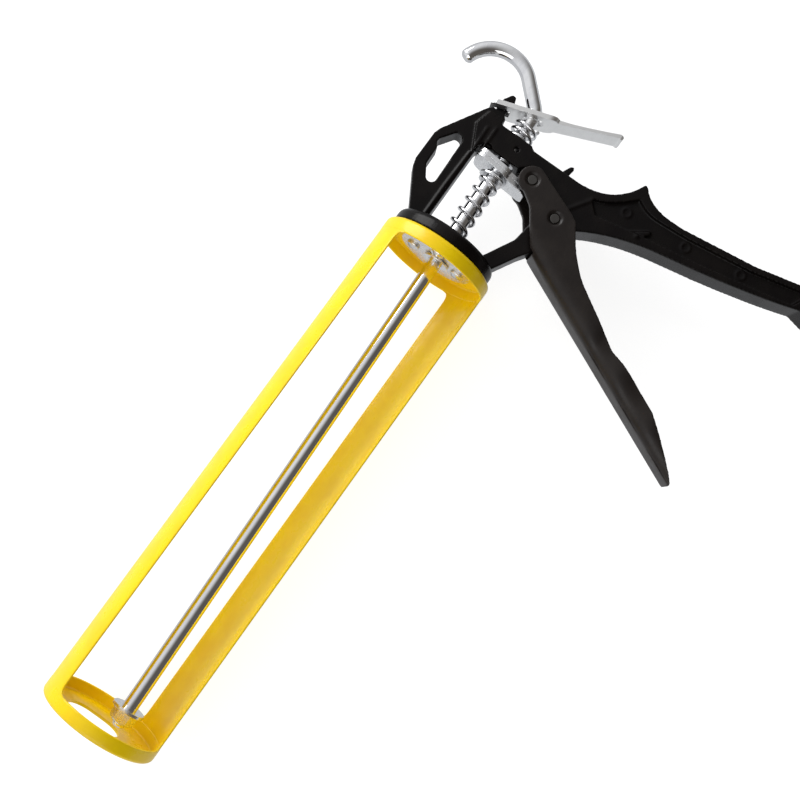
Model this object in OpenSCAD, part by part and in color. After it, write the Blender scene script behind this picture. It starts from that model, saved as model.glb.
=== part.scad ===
// Caulking gun: a strap cradle that turns on a cast body with a fixed handle.
// A trigger pushes two gripping plates, and they push a hooked rod towards the nozzle end.
// +X points to the nozzle end, +Z away from the handle. The origin is in the middle of the hand grip.

/* [Cradle] */
// Outside diameter of the two cups
cup_d = 56; // [48:0.5:70]
// Clear length between the two cups
bay_l = 240.7; // [180:0.1:340]
// Thickness of the cup walls
cup_wall = 1.3; // [0.8:0.1:2]
// Depth of the front cup, floor included
front_cup_l = 6.6; // [5:0.1:20]
// Depth of the rear cup, floor included
rear_cup_l = 6.9; // [5:0.1:20]
// Angle that each strap covers round the cradle
strap_angle = 64; // [30:1:75]
// Where the middle of the upper strap lies, from +Z towards +Y
upper_strap_at = 15; // [-30:1:30]
// Where the middle of the lower strap lies
lower_strap_at = 208.5; // [180:0.5:230]
// Width of the nozzle opening
nozzle_w = 20; // [16:0.5:26]
// How far the nozzle opening runs up from the barrel's axis
nozzle_run = 6; // [0:0.5:8]

/* [Rod] */
// Diameter of the push rod
rod_d = 7; // [5:0.1:9]
// How far the rod's front end droops from the cradle's axis, in degrees
rod_droop = 1.5; // [0:0.1:2]
// Radius of the hook at the rod's rear end
hook_r = 17.8; // [12:0.1:24]

/* [Body] */
// Thickness of the body's rear block and of the handle
body_t = 15; // [11:0.5:18]
// Thickness of the legs that reach to the flange
leg_t = 11; // [8:0.5:14]
// Length of the handle below the barrel's axis
handle_drop = 163; // [140:1:185]
// Depth of the pocket in each side of the handle
pocket_h = 2.2; // [0.5:0.1:4]

/* [Drive] */
// Thickness of one gripping plate
plate_t = 2.2; // [1.5:0.1:3]
// Lean of the gripping plates, lower end forward
plate_lean = 8; // [4:0.5:12]
// Wire of the return spring
main_wire = 1.8; // [1.2:0.1:2.2]
// Number of turns of the return spring
main_turns = 6.5; // [5:0.5:9]

/* [Trigger] */
// Width of the trigger
trigger_w = 22; // [19:0.5:28]
// Wall of the trigger's cheeks
cheek_t = 3; // [2:0.1:4]
// Diameter of the trigger's two pins
pin_d = 4.6; // [4:0.1:6]

/* [Release] */
// Thickness of the release plate
release_t = 2.2; // [1.5:0.1:3]
// Lean of the release plate, lower end to the rear
release_lean = 19; // [14:0.5:24]

/* [Hidden] */
$fn = 96;
eps = 0.01;
running = 0.05;
yellow = [1.0, 0.86, 0.0];
black = [0.06, 0.055, 0.05];
plated = [0.78, 0.79, 0.8];

cup_r = cup_d / 2;
cup_in_r = cup_r - cup_wall;
strap_t = 1;
strap_r = cup_r - 0.1;
flare_r = 5;
rod_r = rod_d / 2;
grip = [-73, 0, -85];
spigot_r = 15.5;
spigot_gap = 0.08;
screw_ring_r = 12;
collar_r = cup_r - 2.2;
collar_back = -14;
droop_x = -28;
block_front = -59.2;
block_rear = -71.7;
bush_r = rod_r + 2;
pivot = [-48.7, -33.7];
thrust = [-57.5, -15.3];
cheek_in = trigger_w / 2 - cheek_t;
stack_x = -54.6;
tongue_w = 6;
release_top = [-78.3, 21.3];
tip_x = 243;

// ---------- helpers ----------

// Points of an arc round c
function arc(c, r, a0, a1, n = 12) =
    [for (i = [0:n]) let (a = a0 + (a1 - a0) * i / n) c + r * [cos(a), sin(a)]];

// Points of a smooth curve from a to c, pulled towards b
function curve(a, b, c, n = 8) =
    [for (i = [0:n]) let (t = i / n) (1 - t) * (1 - t) * a + 2 * t * (1 - t) * b + t * t * c];

// Vertices of a round wire along a helix on X
function coil_ring(x, a, r, wire) =
    [for (k = [0:7]) let (b = 45 * k, q = r + wire / 2 * cos(b))
        [x + wire / 2 * sin(b), q * cos(a), q * sin(a)]];

// Puts a shape from the barrel's frame into the part's frame
module placed() {
    translate(-grip) children();
}

// Turns a shape made along X into the rod's drooping line
module on_rod() {
    translate([droop_x, 0, 0]) rotate([0, rod_droop, 0]) translate([-droop_x, 0, 0]) children();
}

// A side outline in X and Z, made t thick about the middle plane
module side(t) {
    rotate([90, 0, 0]) linear_extrude(t, center = true) children();
}

// A cylinder along X from x0 to x1
module bar(r, x0, x1) {
    translate([x0, 0, 0]) rotate([0, 90, 0]) cylinder(r = r, h = x1 - x0);
}

// A cross pin along Y through a side point
module cross(p, r, l) {
    translate([p[0], 0, p[1]]) rotate([90, 0, 0]) cylinder(r = r, h = l, center = true, $fn = 48);
}

// A helical spring on X between x0 and x1, with mean radius r
module coil(r, wire, x0, x1, turns, steps = 22) {
    rings = ceil(turns * steps);
    run = x1 - x0 - wire;
    points = [for (i = [0:rings]) each coil_ring(x0 + wire / 2 + run * i / rings, 360 * turns * i / rings, r, wire)];
    sides = [for (i = [0:rings - 1], k = [0:7]) let (a = 8 * i + k, b = 8 * i + (k + 1) % 8)
        each [[a, b, b + 8], [a, b + 8, a + 8]]];
    first = [for (k = [7:-1:0]) k];
    last = [for (k = [0:7]) 8 * rings + k];
    polyhedron(points, concat(sides, [first, last]), convexity = 10);
}

// ---------- cradle ----------

// A pressed cup on X: wall, floor and the rounded corner between them; the floor is at x = 0
module cup(l) {
    bend = 2;
    rotate([0, 90, 0]) rotate_extrude() polygon(concat(
        [[0, 0]],
        arc([cup_r - bend, bend], bend, -90, 0, 6),
        [[cup_r, l], [cup_in_r, l], [cup_in_r, cup_wall + 0.7], [cup_in_r - 0.7, cup_wall], [0, cup_wall]]));
}

module front_cup() {
    color(yellow) placed() difference() {
        translate([bay_l + front_cup_l, 0, 0]) mirror([1, 0, 0]) cup(front_cup_l);
        for (z = [0, nozzle_run]) translate([0, 0, z]) bar(nozzle_w / 2, bay_l, bay_l + front_cup_l + 1);
        translate([bay_l, -nozzle_w / 2, 0]) cube([front_cup_l + 1, nozzle_w, nozzle_run]);
    }
}

module rear_cup() {
    color(yellow) placed() difference() {
        translate([-rear_cup_l, 0, 0]) cup(rear_cup_l);
        bar(spigot_r + spigot_gap, -rear_cup_l - 1, 0);
    }
}

// One strap, centred on +Z: a curved strip that flares where it meets the cups
module strap() {
    half = strap_r * sin(strap_angle / 2);
    l = bay_l;
    intersection() {
        difference() {
            bar(strap_r, 0, l);
            bar(strap_r - strap_t, -1, l + 1);
        }
        linear_extrude(2 * strap_r) polygon([
            each curve([0, half + flare_r * 0.6], [0, half], [flare_r, half]),
            each curve([l - flare_r, half], [l, half], [l, half + flare_r * 0.6]),
            each curve([l, -half - flare_r * 0.6], [l, -half], [l - flare_r, -half]),
            each curve([flare_r, -half], [0, -half], [0, -half - flare_r * 0.6])]);
    }
}

module upper_strap() {
    color(yellow) placed() rotate([-upper_strap_at, 0, 0]) strap();
}

module lower_strap() {
    color(yellow) placed() rotate([-lower_strap_at, 0, 0]) strap();
}

// ---------- body ----------

// The upper leg with its long window
module upper_leg_outline() {
    difference() {
        polygon([[-9, 15], [-12, 21], [-32.5, 33], [-36, 34], [-51, 34], [-54, 33.2], [-75.6, 20.8], [-77, 19],
            [-77, 12.5], [-75, 11], [-72, 11], [-60, 8], [-58, 14], [-9, 13.5]]);
        polygon(concat(
            arc([-33.2, 23.2], 2.6, -90, 40, 6),
            [[-37, 28.6], [-46, 28.9], [-48.2, 30.6]],
            arc([-49.8, 28.8], 1.6, 90, 150, 3),
            arc([-54.3, 24.3], 3, 150, 270, 6)));
    }
}

// The lower strut from the flange to the trigger's knuckle
module lower_strut_outline() {
    polygon([[-9, -13], [-16, -16.2], [-31.5, -24.4], [-43, -26], [-48, -42], [-40, -40], [-26, -30.4],
        [-12, -22.6], [-9, -22]]);
}

// The block behind the gripping plates, down to the trigger's knuckle
module block_outline() {
    polygon(concat(
        [[-54, 15], [-66, 21], [-74, 19], [-74, 11.2], [block_rear, 11], [block_rear, -6], [-70.2, -8],
            [-70.2, -33], [-56, -46], [-46, -43]],
        arc(pivot, 9.5, -60, 80, 8),
        [[-52, -25], [-58, -23.5]],
        arc([-60, -20], 3.5, 240, 180, 4),
        [[-63.5, -11], [-61.5, -9.5]],
        arc([block_front - 2, -6], 2, -60, 0, 3),
        arc([block_front - 2, 6.5], 2, 0, 60, 3),
        [[-61, 10]],
        arc([-58.5, 10.5], 2.5, 170, 110, 3)));
}

// The handle in side view, with the thumb rest at the top of its rear edge
module handle_outline() {
    end = -handle_drop;
    lean = (handle_drop - 121) * 0.2;
    polygon(concat(
        [[-70.2, -22]],
        curve([-70.2, -33], [-71, -52], [-87.8, -58.8]),
        curve([-87.2, -60.4], [-78.6, -67], [-81, -86]),
        [[-86, -121], [-86 - lean, end + 7]],
        curve([-86 - lean, end + 7], [-87 - lean, end], [-80 - lean, end]),
        curve([-76 - lean, end], [-70 - lean, end + 1], [-71 - lean, end + 7]),
        curve([-72.5 - lean, end + 14], [-74.5, -130], [-68.5, -102]),
        curve([-65, -84], [-60.5, -60], [-50, -44]),
        [[-46, -40], [-56, -22]]));
}

// The sunk panel in each side of the handle
module pocket_outline() {
    lean = (handle_drop - 121) * 0.2;
    polygon(concat(
        curve([-62, -48], [-64.5, -60], [-67.4, -75]),
        [[-71.5, -100], [-76 - lean * 0.6, -handle_drop + 18]],
        [[-83 - lean * 0.8, -handle_drop + 14], [-83, -121], [-78.2, -88]],
        curve([-77, -72], [-77, -66], [-80.5, -60.5]),
        curve([-75, -55], [-70, -50], [-67.5, -42])));
}

// The guard lug behind the grip
module lug_outline() {
    polygon([[-69, -21.5], [-71, -23.4], [-76.4, -25.7], [-77.4, -27.4], [-76, -28], [-71.5, -27.3], [-69, -30]]);
}

// The hooked tongue that carries the release plate
module tongue_outline() {
    polygon([[-74, 12.8], [-74, 18], [-84, 17.8], [-88.4, 15.2], [-88.2, 13.2], [-84.4, 11.8], [-82, 12.8]]);
}

// The round flange with its rounded back and the spigot that carries the cradle
module flange() {
    front = -rear_cup_l - 0.3;
    rotate([0, 90, 0]) rotate_extrude() polygon(concat(
        [[0, collar_back], [collar_r - 5, collar_back]],
        arc([collar_r - 3, collar_back + 3], 3, -90, 0, 6),
        [[collar_r, front], [0, front]]));
    bar(spigot_r, front - eps, -rear_cup_l + cup_wall + 0.2);
}

module body_casting() {
    color(black) placed() difference() {
        union() {
            flange();
            side(leg_t) upper_leg_outline();
            side(leg_t) lower_strut_outline();
            side(body_t) block_outline();
            side(tongue_w) tongue_outline();
            side(3) lug_outline();
            side(body_t) handle_outline();
        }
        for (s = [-1, 1]) translate([0, s * (body_t / 2 - pocket_h / 2 + eps), 0]) side(pocket_h) pocket_outline();
        on_rod() bar(bush_r, block_rear - 1, block_front + 2);
        on_rod() bar(bush_r, collar_back - 1, -2);
        cross(pivot, pin_d / 2, body_t + 2);
        cross([-66, -1.4], 1.2, body_t + 2);
        for (a = [0:90:270]) rotate([a, 0, 0]) translate([0, 0, screw_ring_r]) bar(1.2, -12, -2);
    }
}

module retaining_plate() {
    color(plated) placed() difference() {
        bar(18.5, -rear_cup_l + cup_wall + 0.2, -rear_cup_l + cup_wall + 1.6);
        on_rod() bar(bush_r, -20, 5);
        for (a = [0:90:270]) rotate([a, 0, 0]) translate([0, 0, screw_ring_r]) bar(1.2, -12, 2);
    }
}

// A slotted round-head screw pointing to -X, its head seated at x = 0
module screw(shank) {
    difference() {
        union() {
            bar(1.2, -shank, eps);
            bar(3.3, 0, 1);
            translate([1, 0, 0]) rotate([0, 90, 0]) cylinder(r1 = 3.3, r2 = 2.3, h = 0.8);
        }
        translate([1, -0.4, -4]) cube([2, 0.8, 8]);
    }
}

module retaining_screws() {
    color(plated) placed() for (a = [0:90:270]) rotate([a, 0, 0])
        translate([-rear_cup_l + cup_wall + 1.6, 0, screw_ring_r]) screw(6);
}

// A plain bush on the rod's line with a small shoulder at its front
module rod_bush(x0, x1) {
    on_rod() difference() {
        union() {
            bar(bush_r, x0, x1);
            bar(bush_r + 1.1, x1, x1 + 1);
        }
        bar(rod_r + running, x0 - 1, x1 + 2);
    }
}

module guide_bush() {
    color(plated) placed() rod_bush(collar_back, -rear_cup_l + cup_wall + 1.9);
}

module rear_bush() {
    color(plated) placed() on_rod() difference() {
        bar(bush_r, block_rear + 0.6, block_front - 0.6);
        bar(rod_r + running, block_rear - 1, block_front + 1);
    }
}

module trigger_pin() {
    color(plated) placed() cross(pivot, pin_d / 2, trigger_w - 1.2);
}

// ---------- rod ----------

// The rod, its threaded front end, a sharp bend up and the round hook; the bends are a hair thinner
module push_rod() {
    bend_x = -84.7;
    rise = 44;
    bend_r = 8;
    straight = 14;
    sweep = 119;
    tip_l = 9;
    step = 0.02;
    lap = 0.3;
    color(plated) placed() on_rod() {
        bar(rod_r, bend_x - lap, tip_x - tip_l);
        bar(rod_r - 0.6, tip_x - tip_l - 1, tip_x - 0.6);
        translate([tip_x - 0.6, 0, 0]) rotate([0, 90, 0]) cylinder(r1 = rod_r - 0.6, r2 = rod_r - 1.2, h = 0.6);
        translate([bend_x, 0, bend_r]) rotate([90, 0, 0]) rotate([0, 0, 270 - rise])
            rotate_extrude(angle = rise) translate([bend_r, 0]) circle(rod_r - step, $fn = 48);
        translate([bend_x - bend_r * sin(rise), 0, bend_r * (1 - cos(rise))]) rotate([0, rise, 0]) {
            bar(rod_r, -straight - lap, lap);
            translate([-straight, 0, hook_r]) rotate([90, 0, 0]) rotate([0, 0, 270 - sweep])
                rotate_extrude(angle = sweep) translate([hook_r, 0]) circle(rod_r - step, $fn = 48);
            translate([-straight, 0, hook_r]) rotate([0, sweep, 0]) translate([lap, 0, -hook_r]) rotate([0, -90, 0])
                cylinder(r1 = rod_r, r2 = rod_r - 0.8, h = 1.5);
        }
    }
}

module tip_washer() {
    color(plated) placed() on_rod() difference() {
        bar(7.5, tip_x - 9, tip_x - 7.4);
        bar(rod_r - 0.6, tip_x - 10, tip_x - 5);
    }
}

module tip_nut() {
    color(plated) placed() on_rod() difference() {
        translate([tip_x - 7.4, 0, 0]) rotate([0, 90, 0]) intersection() {
            cylinder(r = 5.8, h = 5, $fn = 6);
            cylinder(r1 = 5.2 + 5, r2 = 5.2, h = 5);
        }
        bar(rod_r - 0.6, tip_x - 10, tip_x);
    }
}

// ---------- drive ----------

// A gripping plate across the rod: round top, narrower tongue below; x is its middle
module drive_plate(x) {
    top = 12;
    low = 17;
    on_rod() translate([x, 0, 0]) rotate([0, plate_lean * -1, 0]) rotate([0, 90, 0]) difference() {
        linear_extrude(plate_t - 0.04, center = true) polygon(concat(
            arc([-top + 4, 5], 4, 180, 90, 5),
            curve([2, 9], [5, 9], [6, 7.4]),
            [[low - 4, 6.4]],
            arc([low - 3, 3.4], 3, 90, 0, 4),
            arc([low - 3, -3.4], 3, 0, -90, 4),
            [[low - 4, -6.4]],
            curve([6, -7.4], [5, -9], [2, -9]),
            arc([-top + 4, -5], 4, -90, -180, 5)));
        cylinder(r = rod_r + 0.35, h = plate_t + 2, center = true);
    }
}

module front_drive_plate() {
    color(plated) placed() drive_plate(stack_x + plate_t / 2);
}

module rear_drive_plate() {
    color(plated) placed() drive_plate(stack_x - plate_t / 2);
}

module spring_washer() {
    color(plated) placed() on_rod() difference() {
        bar(6.6, stack_x + 3.6, stack_x + 4.6);
        bar(rod_r + 0.3, stack_x + 1, stack_x + 8);
    }
}

module main_spring() {
    color(plated) placed() on_rod()
        coil(rod_r + 0.35 + main_wire / 2, main_wire, stack_x + 4.6, collar_back, main_turns);
}

// ---------- trigger ----------

// The trigger in side view: round head on the thrust pin, cheeks, then the finger grip
module trigger_outline() {
    polygon(concat(
        arc(thrust, 6.6, 190, 0, 10),
        [[-46.8, -21.2], [-37.4, -27.8]],
        curve([-33, -31], [-30, -33.4], [-28, -38]),
        [[-10.4, -73], [10.6, -116.4], [17, -127.5], [24.2, -141]],
        arc([22.4, -142.2], 2.2, 20, -110, 5),
        curve([19.6, -144], [12, -136], [3.2, -125]),
        curve([-1.6, -119], [-9.6, -103], [-12, -96]),
        curve([-14, -89], [-16.6, -85], [-22.2, -76]),
        curve([-30.5, -62.4], [-35, -55.4], [-44, -48.4]),
        curve([-50.6, -43.8], [-53.4, -43.4], [-56.4, -35])));
}

// The hollow between the cheeks: open to the rear, closed by the front wall below the knuckle
module trigger_hollow_outline() {
    polygon([[-80, 0], [-15, 0], [-22, -28.6], [-32.6, -36], [-31.4, -39], [-14, -74.4], [3.4, -110], [9, -123],
        [-4, -126], [-40, -80], [-80, -40]]);
}

module trigger() {
    slope = atan2(49.1, 107.8);
    wide = trigger_w / 2;
    color(black) placed() difference() {
        intersection() {
            side(trigger_w) trigger_outline();
            translate([-22.8, 0, -49.5]) rotate([0, -slope, 0]) linear_extrude(400, center = true)
                polygon(concat(
                    [[-120, -wide], [-5, -wide]],
                    arc([-6.2, -wide + 6.5], 6.5, -90, 0, 6),
                    arc([-6.2, wide - 6.5], 6.5, 0, 90, 6),
                    [[-120, wide]]));
        }
        side(2 * cheek_in) trigger_hollow_outline();
        cross(pivot, pin_d / 2 + running, trigger_w + 2);
        cross(thrust, pin_d / 2, trigger_w + 2);
        for (s = [-1, 1], p = [pivot, thrust]) translate([0, s * trigger_w / 2, 0]) cross(p, 3.5, 1.6);
    }
}

module thrust_pin() {
    color(plated) placed() cross(thrust, pin_d / 2, trigger_w - 1.2);
}

// ---------- release ----------

// The release plate in side view: straight where it hangs, then curved back to the thumb
module release_outline() {
    lean = [-sin(release_lean), -cos(release_lean)];
    across = [-cos(release_lean), sin(release_lean)] * release_t / 2;
    knee = release_top + 27.5 * lean;
    polygon(concat(
        [release_top - across],
        [knee - across],
        curve(knee - across, [-91.2, -17.2], [-99.6, -36.4]),
        arc([-100.4, -37.2], 1.1, 30, -150, 5),
        curve([-101.6, -36.4], [-95.6, -24], [-92, -15]),
        [knee + across, release_top + across]));
}

// The same plate seen from the front: full width round the rod, a slimmer thumb tab below
module release_width() {
    polygon(concat(
        arc([5.5, 19], 3, 0, 90, 4),
        arc([-5.5, 19], 3, 90, 180, 4),
        curve([-8.5, -5], [-8.5, -8.5], [-5.6, -9.5]),
        arc([-2.6, -37], 3, 180, 270, 4),
        arc([2.6, -37], 3, 270, 360, 4),
        curve([5.6, -9.5], [8.5, -8.5], [8.5, -5])));
}

// The release plate: hung on the tongue, round the rod, then the thumb tab
module release_plate() {
    color(plated) placed() difference() {
        intersection() {
            side(2 * 9) release_outline();
            rotate([90, 0, -90]) linear_extrude(220, center = true) mirror([1, 0]) release_width();
        }
        translate([release_top[0], 0, release_top[1]]) rotate([0, release_lean, 0]) {
            translate([0, 0, -6.1]) cube([release_t + 2, tongue_w + 0.8, 7.6], center = true);
            for (z = [-22.4, -20]) translate([0, 0, z]) rotate([0, 90, 0])
                cylinder(r = rod_r + 0.55, h = release_t + 2, center = true);
            translate([0, 0, -21.2]) cube([release_t + 2, rod_d + 1.1, 2.4], center = true);
        }
    }
}

module release_spring() {
    color(plated) placed() on_rod() coil(5.6, 1.6, -82, block_rear, 2.8);
}

front_cup();
rear_cup();
upper_strap();
lower_strap();
body_casting();
retaining_plate();
retaining_screws();
guide_bush();
rear_bush();
trigger_pin();
push_rod();
tip_washer();
tip_nut();
front_drive_plate();
rear_drive_plate();
main_spring();
spring_washer();
trigger();
thrust_pin();
release_plate();
release_spring();
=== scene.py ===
"""Caulking gun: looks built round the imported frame.

Sizes are in millimetres in the barrel's own frame: x towards the nozzle end, y to the user's left, z away
from the handle, with the origin on the barrel's axis at the rear cup's lip. PLACE puts them in the row frame.
"""

import logging
import math
from collections.abc import Callable, Sequence
from dataclasses import dataclass, field
from enum import Enum

import bmesh
import bpy
from mathutils import Matrix, Vector


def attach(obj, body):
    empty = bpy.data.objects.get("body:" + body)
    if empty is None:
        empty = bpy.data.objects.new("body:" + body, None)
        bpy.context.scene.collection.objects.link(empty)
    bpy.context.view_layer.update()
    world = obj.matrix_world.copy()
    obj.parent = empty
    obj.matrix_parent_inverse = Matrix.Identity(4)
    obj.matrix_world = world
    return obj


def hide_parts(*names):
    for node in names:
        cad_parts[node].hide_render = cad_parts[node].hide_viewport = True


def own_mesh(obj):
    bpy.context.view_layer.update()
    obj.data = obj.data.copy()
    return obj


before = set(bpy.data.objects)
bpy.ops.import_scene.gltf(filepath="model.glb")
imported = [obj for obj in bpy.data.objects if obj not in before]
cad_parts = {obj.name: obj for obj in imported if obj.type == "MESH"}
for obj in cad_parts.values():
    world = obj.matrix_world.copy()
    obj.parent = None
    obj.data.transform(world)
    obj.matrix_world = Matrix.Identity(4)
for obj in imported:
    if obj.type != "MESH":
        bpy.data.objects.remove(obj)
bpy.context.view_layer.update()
LOG = logging.getLogger("caulking_gun")

MM = 0.001
BARREL_HOME = Vector((73.0, 0.0, 85.0))
PLACE = Matrix.Scale(MM, 4) @ Matrix.Translation(BARREL_HOME)
DROOP_X = -28.0
ROD_LINE = (
    Matrix.Translation((DROOP_X, 0, 0))
    @ Matrix.Rotation(math.radians(1.5), 4, "Y")
    @ Matrix.Translation((-DROOP_X, 0, 0))
)
Point = tuple[float, float]


class Body(Enum):
    """The bodies that pieces ride on."""

    FRAME = "frame"
    CRADLE = "cradle"
    ROD = "rod"
    PLATES = "plates"
    TRIGGER = "trigger"
    RELEASE = "release"


class Slot(Enum):
    """The record's material slots."""

    YELLOW = "yellow_paint"
    BLACK = "black_paint"
    TRIGGER = "trigger_paint"
    CHROME = "chrome"
    ZINC = "zinc"
    SPRING = "spring_steel"
    DARK = "dark_steel"


# ---------------------------------------------------------------- node helpers


class NodeDesk:
    """Adds nodes to one tree and wires them."""

    def __init__(self, tree: bpy.types.NodeTree) -> None:
        """Keeps the tree.

        Args:
            tree: the node tree to build in.
        """
        self.tree = tree

    def add(self, kind: str, inputs: dict | None = None, **settings: object) -> bpy.types.Node:
        """Adds one node.

        Args:
            kind: Blender's node type.
            inputs: socket name or index to a value or to another node's output.
            settings: attributes of the node.

        Returns:
            The new node.
        """
        node = self.tree.nodes.new(kind)
        for name, value in settings.items():
            setattr(node, name, value)
        for key, value in (inputs or {}).items():
            if isinstance(value, bpy.types.NodeSocket):
                self.tree.links.new(value, node.inputs[key])
            else:
                node.inputs[key].default_value = value
        return node

    def math(self, operation: str, a: object, b: object = 0.0, c: object = 0.0) -> bpy.types.NodeSocket:
        """Adds a Math node and returns its output.

        Args:
            operation: the node's operation.
            a: first value or socket.
            b: second value or socket.
            c: third value or socket.

        Returns:
            The result's socket.
        """
        return self.add("ShaderNodeMath", {0: a, 1: b, 2: c}, operation=operation).outputs[0]

    def noise(
        self, vector: object, scale: float, detail: float = 4.0, rough: float = 0.55
    ) -> bpy.types.NodeSocket:
        """Adds a Noise Texture and returns its value.

        Args:
            vector: the coordinates.
            scale: features to the metre.
            detail: octaves.
            rough: how strong the finer octaves are.

        Returns:
            The noise value's socket.
        """
        inputs = {"Vector": vector, "Scale": scale, "Detail": detail, "Roughness": rough}
        return self.add("ShaderNodeTexNoise", inputs).outputs[0]

    def ramp(
        self, value: object, low: float, high: float, out_low: float = 0.0, out_high: float = 1.0
    ) -> bpy.types.NodeSocket:
        """Maps a value smoothly from one range to another, clamped.

        Args:
            value: the socket to map.
            low: where the output is out_low.
            high: where the output is out_high.
            out_low: output at low.
            out_high: output at high.

        Returns:
            The mapped value's socket.
        """
        node = self.add("ShaderNodeMapRange", {"Value": value}, interpolation_type="SMOOTHSTEP")
        limits = {"From Min": low, "From Max": high, "To Min": out_low, "To Max": out_high}
        for name, number in limits.items():
            node.inputs[name].default_value = number
        return node.outputs["Result"]

    def mix(self, factor: object, a: object, b: object) -> bpy.types.NodeSocket:
        """Mixes two colours.

        Args:
            factor: share of b.
            a: first colour or socket.
            b: second colour or socket.

        Returns:
            The mixed colour's socket.
        """
        node = self.add("ShaderNodeMix", data_type="RGBA")
        for index, value in ((0, factor), (6, a), (7, b)):
            if isinstance(value, bpy.types.NodeSocket):
                self.tree.links.new(value, node.inputs[index])
            else:
                node.inputs[index].default_value = value
        return node.outputs[2]


def rgba(colour: Sequence[float]) -> tuple[float, float, float, float]:
    """A colour of three parts as four."""
    return (colour[0], colour[1], colour[2], 1.0)


def new_group(
    name: str, kind: str, inputs: Sequence[tuple[str, str, object]], outputs: Sequence[tuple[str, str]]
) -> bpy.types.NodeTree:
    """Starts a node group with named sockets.

    Args:
        name: the group's name.
        kind: "ShaderNodeTree" or "GeometryNodeTree".
        inputs: name, socket type and default of each input.
        outputs: name and socket type of each output.

    Returns:
        The group, with its Group Input and Group Output nodes.
    """
    tree = bpy.data.node_groups.new(name, kind)
    for label, socket, default in inputs:
        made = tree.interface.new_socket(label, in_out="INPUT", socket_type=socket)
        if default is not None:
            made.default_value = default
    for label, socket in outputs:
        tree.interface.new_socket(label, in_out="OUTPUT", socket_type=socket)
    tree.nodes.new("NodeGroupInput")
    tree.nodes.new("NodeGroupOutput")
    return tree


def ends(tree: bpy.types.NodeTree) -> tuple[bpy.types.Node, bpy.types.Node]:
    """A group's input and output nodes."""
    return tree.nodes["Group Input"], tree.nodes["Group Output"]


FLOAT, COLOUR, VECTOR = "NodeSocketFloat", "NodeSocketColor", "NodeSocketVector"


def edge_marks_group() -> bpy.types.NodeTree:
    """Patches of a second colour on sharp outer edges, for worn paint and plating and, on the yellow paint,
    partly for painted shade along the edges: a colour and a mask.

    Returns:
        The shader group, built once.
    """
    name = "Edge wear"
    if name in bpy.data.node_groups:
        return bpy.data.node_groups[name]
    tree = new_group(
        name,
        "ShaderNodeTree",
        [
            ("Coat Colour", COLOUR, rgba((0.5, 0.5, 0.5))),
            ("Bare Colour", COLOUR, rgba((0.4, 0.4, 0.4))),
            ("Amount", FLOAT, 0.5),
            ("Breakup Scale", FLOAT, 400.0),
        ],
        [("Colour", COLOUR), ("Mask", FLOAT)],
    )
    desk = NodeDesk(tree)
    given, result = ends(tree)
    where = desk.add("ShaderNodeTexCoord").outputs["Object"]
    patchy = desk.noise(where, 400.0, 5.0, 0.65)
    tree.links.new(given.outputs["Breakup Scale"], patchy.node.inputs["Scale"])
    pointed = desk.add("ShaderNodeNewGeometry").outputs["Pointiness"]
    sharp = desk.ramp(pointed, 0.515, 0.6)
    broken = desk.ramp(patchy, 0.5, 0.68)
    mask = desk.math("MULTIPLY", desk.math("MULTIPLY", sharp, broken), given.outputs["Amount"])
    colour = desk.mix(mask, given.outputs["Coat Colour"], given.outputs["Bare Colour"])
    tree.links.new(colour, result.inputs["Colour"])
    tree.links.new(mask, result.inputs["Mask"])
    return tree


def cast_grain_group() -> bpy.types.NodeTree:
    """The fine pebbled skin of a sprayed or cast surface, as a height.

    Returns:
        The shader group, built once.
    """
    name = "Cast grain"
    if name in bpy.data.node_groups:
        return bpy.data.node_groups[name]
    tree = new_group(
        name,
        "ShaderNodeTree",
        [("Grain Scale", FLOAT, 1500.0), ("Wave Scale", FLOAT, 60.0), ("Wave Share", FLOAT, 0.5)],
        [("Height", FLOAT)],
    )
    desk = NodeDesk(tree)
    given, result = ends(tree)
    where = desk.add("ShaderNodeTexCoord").outputs["Object"]
    fine = desk.noise(where, 1500.0, 3.0, 0.5)
    tree.links.new(given.outputs["Grain Scale"], fine.node.inputs["Scale"])
    wave = desk.noise(where, 60.0, 2.0, 0.4)
    tree.links.new(given.outputs["Wave Scale"], wave.node.inputs["Scale"])
    height = desk.math("MULTIPLY_ADD", wave, given.outputs["Wave Share"], fine)
    tree.links.new(height, result.inputs["Height"])
    return tree


def handling_group() -> bpy.types.NodeTree:
    """Smears and dust from use: a roughness and a tint mask.

    Returns:
        The shader group, built once.
    """
    name = "Handling"
    if name in bpy.data.node_groups:
        return bpy.data.node_groups[name]
    tree = new_group(
        name,
        "ShaderNodeTree",
        [
            ("Low", FLOAT, 0.2),
            ("High", FLOAT, 0.4),
            ("Scale", FLOAT, 90.0),
            ("Stretch", VECTOR, (1.0, 1.0, 1.0)),
        ],
        [("Roughness", FLOAT), ("Smear", FLOAT)],
    )
    desk = NodeDesk(tree)
    given, result = ends(tree)
    where = desk.add("ShaderNodeTexCoord").outputs["Object"]
    stretched = desk.add("ShaderNodeMapping", {"Vector": where})
    tree.links.new(given.outputs["Stretch"], stretched.inputs["Scale"])
    smear = desk.noise(stretched.outputs[0], 90.0, 6.0, 0.6)
    tree.links.new(given.outputs["Scale"], smear.node.inputs["Scale"])
    mask = desk.ramp(smear, 0.35, 0.7)
    span = desk.math("SUBTRACT", given.outputs["High"], given.outputs["Low"])
    rough = desk.math("MULTIPLY_ADD", mask, span, given.outputs["Low"])
    tree.links.new(rough, result.inputs["Roughness"])
    tree.links.new(mask, result.inputs["Smear"])
    return tree


# ---------------------------------------------------------------- finishes


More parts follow.
